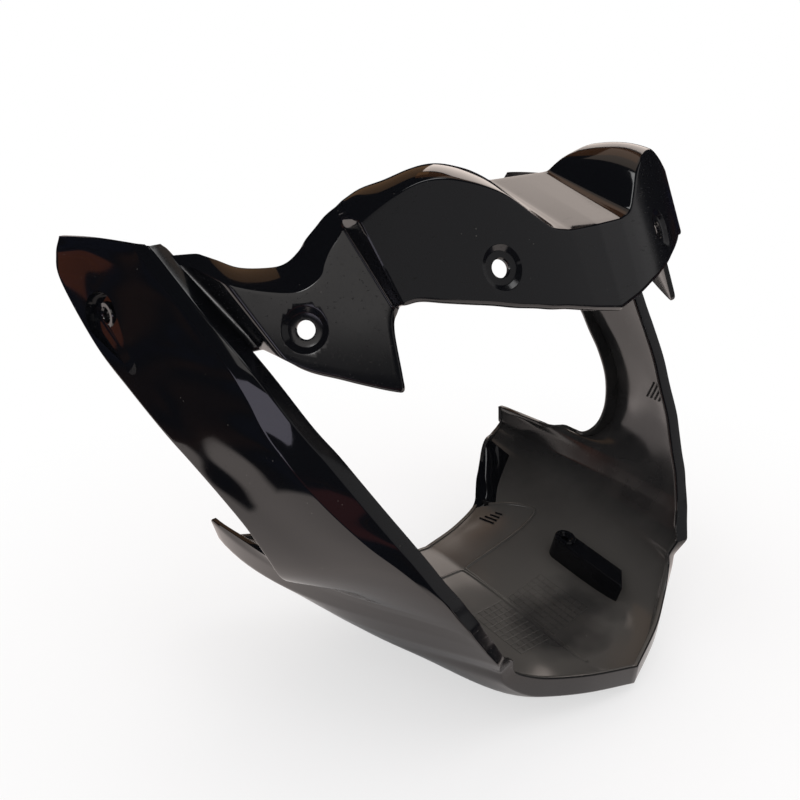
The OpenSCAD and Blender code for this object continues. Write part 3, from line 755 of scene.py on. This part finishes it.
# short ribs in the corner of the pad and on the panel
corner_ribs = [rounded([(46 + 3.4 * k, 147 - 1.5 * k), (46.8 + 3.4 * k, 136 + 0.6 * k)])
               for k in range(4)]
cowl_corner_ribs = ribbons("cowl_corner_ribs", corner_ribs, 1.5, 0.9, GLOSS, chin_floor, twin=True)
wall_ribs = [rounded([(71 + 3.8 * k, 117 - 0.8 * k), (74.5 + 3.8 * k, 106 - 0.4 * k)])
             for k in range(4)]
cowl_wall_ribs = ribbons("cowl_wall_ribs", wall_ribs, 1.6, 0.9, INNER, side_wall, twin=True)
cowl_gutter = rear_gutter()

shown = [cowl_shell, cowl_brow, cowl_grid, cowl_pad_edge, cowl_corner_ribs, cowl_wall_ribs,
         cowl_gutter]
for obj in shown:
    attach(obj, "root")
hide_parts("cowl")


# ---------------------------------------------------------------- table, light

TABLE_RADIUS = 12  # metres
PAPER_LEFT, PAPER_RIGHT = 0.52, 0.40  # how far the paper reaches to either side, in metres
REDDISH_AT = (-0.95, -0.6, 0)  # middle of the reddish patch of the bench
LAMP_CENTRE = Vector((0, 0, 0.12))

# Name, bearings left and right and heights low and high in degrees, radiance, colour,
# distance in metres.
LAMPS = [
    ("window", 104, 134, 10, 36, 1.7, "#fff0e6", 2.2),
    ("wooden_lintel", 106, 136, 38, 50, 0.24, "#d9904e", 2.2),
    ("wooden_frame", 135, 156, 14, 44, 0.30, "#d9a878", 2.2),
    ("tube_overhead", 20, 60, 66, 74, 2.6, "#ffffff", 2.2),
    ("ceiling_glow", 95, 115, 40, 60, 0.36, "#ffe9d6", 2.4),
    ("white_board_behind", -192, -169, -8, 13, 0.85, "#fff2ee", 0.8),
    ("brown_door_left", -146, -134, -3, 10, 0.6, "#b5623a", 2.0),
    ("screen_left", -92, -67, -3, 6, 1.5, "#efeaff", 1.2),
    ("pale_door_front_left", -82, -56, 15, 34, 0.9, "#fffaf6", 2.0),
    ("bulb_front_left", -80, -73, 28, 34, 6.0, "#ffffff", 2.0),
    ("dim_room_front", -22, 79, 4, 46, 0.31, "#f6f3f2", 2.6),
]


def past_line(t, place, way, limit):
    """How far a place lies past a line square to a way, in metres."""
    dot = add(t, "ShaderNodeVectorMath", {"operation": "DOT_PRODUCT"}, i0=place, i1=way)
    return add(t, "ShaderNodeMath", {"operation": "SUBTRACT"}, i0=dot, i1=limit)


def paper_on_bench():
    """Pale paper on a table: white to the camera but for the cowl's shadow. Gloss sees it
    in shade under the cowl, bright further out, and the dark bench past its edges."""
    m, t = material("white_paper_sweep")
    path = add(t, "ShaderNodeLightPath")
    place = add(t, "ShaderNodeTexCoord").outputs["Object"]
    # the paper's torn corner on the left, its ends, and the dark bench in front
    corner = add(t, "ShaderNodeMath", {"operation": "MINIMUM"},
                 i0=past_line(t, place, (-0.604, -0.797, 0), 0.168),
                 i1=past_line(t, place, (-0.818, 0.575, 0), 0.277))
    dark_front = add(t, "ShaderNodeMath", {"operation": "MINIMUM"},
                     i0=past_line(t, place, (0, -1, 0), 0.112),
                     i1=past_line(t, place, (-1, 0, 0), 0.15))
    ends = add(t, "ShaderNodeMath", {"operation": "MAXIMUM"},
               i0=past_line(t, place, (-1, 0, 0), PAPER_LEFT),
               i1=past_line(t, place, (1, 0, 0), PAPER_RIGHT))
    sides = add(t, "ShaderNodeMath", {"operation": "MAXIMUM"}, i0=corner, i1=ends)
    off_paper = add(t, "ShaderNodeMath", {"operation": "MAXIMUM"}, i0=sides, i1=dark_front)
    edge = add(t, "ShaderNodeMapRange", i0=off_paper, i1=-0.006, i2=0.010, i3=0.0, i4=1.0)
    # past the paper: stained wood in dark patches of about half a metre, one of them reddish
    clutter = add(t, "ShaderNodeTexNoise", Vector=place, Scale=1.6, Detail=2.0, Roughness=0.5)
    stains = [(0.36, linear("#08090b")), (0.46, linear("#1b2136")), (0.53, linear("#0a0a0c")),
              (0.66, linear("#4a3122"))]
    bench = add(t, "ShaderNodeValToRGB", {"stops": stains}, Fac=clutter)
    from_red = add(t, "ShaderNodeVectorMath", {"operation": "DISTANCE"}, i0=place, i1=REDDISH_AT)
    reddish = add(t, "ShaderNodeValToRGB", {"stops": [(0.30, grey(1)), (0.52, grey(0))]},
                  Fac=from_red)
    bench = add(t, "ShaderNodeMix", {"data_type": "RGBA"}, i0=reddish, i6=bench,
                i7=linear("#86494a"))
    paper = add(t, "ShaderNodeBsdfDiffuse", Color=linear("#f3f4f7"))
    dark = add(t, "ShaderNodeBsdfDiffuse", Color=bench)
    bright = add(t, "ShaderNodeEmission", Color=linear("#fff2ec"), Strength=1.2)
    glow = add(t, "ShaderNodeEmission", Color=linear("#ffffff"), Strength=1.0)
    away = add(t, "ShaderNodeVectorMath", {"operation": "LENGTH"}, i0=place)
    # right under the cowl the paper lies in its shade
    open_paper = add(t, "ShaderNodeValToRGB", {"stops": [(0.09, grey(0)), (0.17, grey(1))]},
                     Fac=away)
    sheet = add(t, "ShaderNodeMixShader", Fac=open_paper, i1=paper, i2=bright)
    to_edge = add(t, "ShaderNodeMixShader", Fac=edge, i1=sheet, i2=dark)
    white = add(t, "ShaderNodeValToRGB", {"stops": [(0.17, grey(0.6)), (0.40, grey(1))]}, Fac=away)
    seen = add(t, "ShaderNodeMixShader", Fac=white, i1=paper, i2=glow)
    lit = add(t, "ShaderNodeMixShader", Fac=path.outputs["Is Glossy Ray"], i1=paper, i2=to_edge)
    full = add(t, "ShaderNodeMixShader", Fac=path.outputs["Is Camera Ray"], i1=lit, i2=seen)
    add(t, "ShaderNodeOutputMaterial", Surface=full)
    return m


def stage_table():
    bm = bmesh.new()
    bmesh.ops.create_circle(bm, cap_ends=True, cap_tris=False, segments=96, radius=TABLE_RADIUS)
    mesh = bpy.data.meshes.new("table")
    bm.to_mesh(mesh)
    bm.free()
    table = bpy.data.objects.new("table", mesh)
    bpy.context.scene.collection.objects.link(table)
    mesh.materials.append(paper_on_bench())


def room():
    """White behind the cowl, plain pale light on it, and a dark room in its gloss."""
    world = bpy.data.worlds.new("studio")
    bpy.context.scene.world = world
    world.use_nodes = True
    t = world.node_tree
    t.nodes.clear()
    path = add(t, "ShaderNodeLightPath")
    white = add(t, "ShaderNodeBackground", Color=linear("#ffffff"), Strength=1.0)
    pale = add(t, "ShaderNodeBackground", Color=linear("#fbf8f5"), Strength=0.9)
    dark = add(t, "ShaderNodeBackground", Color=linear("#16161a"), Strength=1.0)
    lit = add(t, "ShaderNodeMixShader", Fac=path.outputs["Is Glossy Ray"], i1=pale, i2=dark)
    full = add(t, "ShaderNodeMixShader", Fac=path.outputs["Is Camera Ray"], i1=lit, i2=white)
    add(t, "ShaderNodeOutputWorld", Surface=full)


def softbox(name, left, right, low, high, radiance, colour, away):
    """A soft panel of the studio between two bearings and two heights, in degrees; bearing
    0 is in front of the cowl and 90 to its +X side. Radiance is what its reflection shows."""
    bearing, height = math.radians((left + right) / 2), math.radians((low + high) / 2)
    way = Vector((math.sin(bearing) * math.cos(height), -math.cos(bearing) * math.cos(height),
                  math.sin(height)))
    light = bpy.data.lights.new(name, "AREA")
    light.shape = "RECTANGLE"
    light.size = 2 * away * math.tan(math.radians(right - left) / 2)
    light.size_y = 2 * away * math.tan(math.radians(high - low) / 2)
    light.energy = radiance * light.size * light.size_y * math.pi
    light.color = linear(colour)[:3]
    lamp = bpy.data.objects.new(name, light)
    bpy.context.scene.collection.objects.link(lamp)
    facing = way.to_track_quat("Z", "Y").to_matrix().to_4x4()
    lamp.matrix_world = Matrix.Translation(LAMP_CENTRE + way * away) @ facing
    lamp.visible_camera = False


stage_table()
room()
for lamp in LAMPS:
    softbox(*lamp)

camera_data = bpy.data.cameras.new("camera")
camera_data.lens, camera_data.sensor_width = 41.85, 36
camera_data.clip_start, camera_data.clip_end = 0.02, 40
camera = bpy.data.objects.new("camera", camera_data)
bpy.context.scene.collection.objects.link(camera)
right = Vector((0.71700, -0.69708, 0))
down = Vector((-0.25042, -0.25758, -0.93324))
ahead = Vector((0.65054, 0.66913, -0.35925))
turn = Matrix((right, -down, -ahead)).transposed().to_4x4()
camera.matrix_world = Matrix.Translation((-0.360, -0.197 - MIDDLE_Y * MM, 0.312)) @ turn
bpy.context.scene.camera = camera
bpy.context.scene.view_settings.view_transform = "Standard"

bpy.context.view_layer.update()
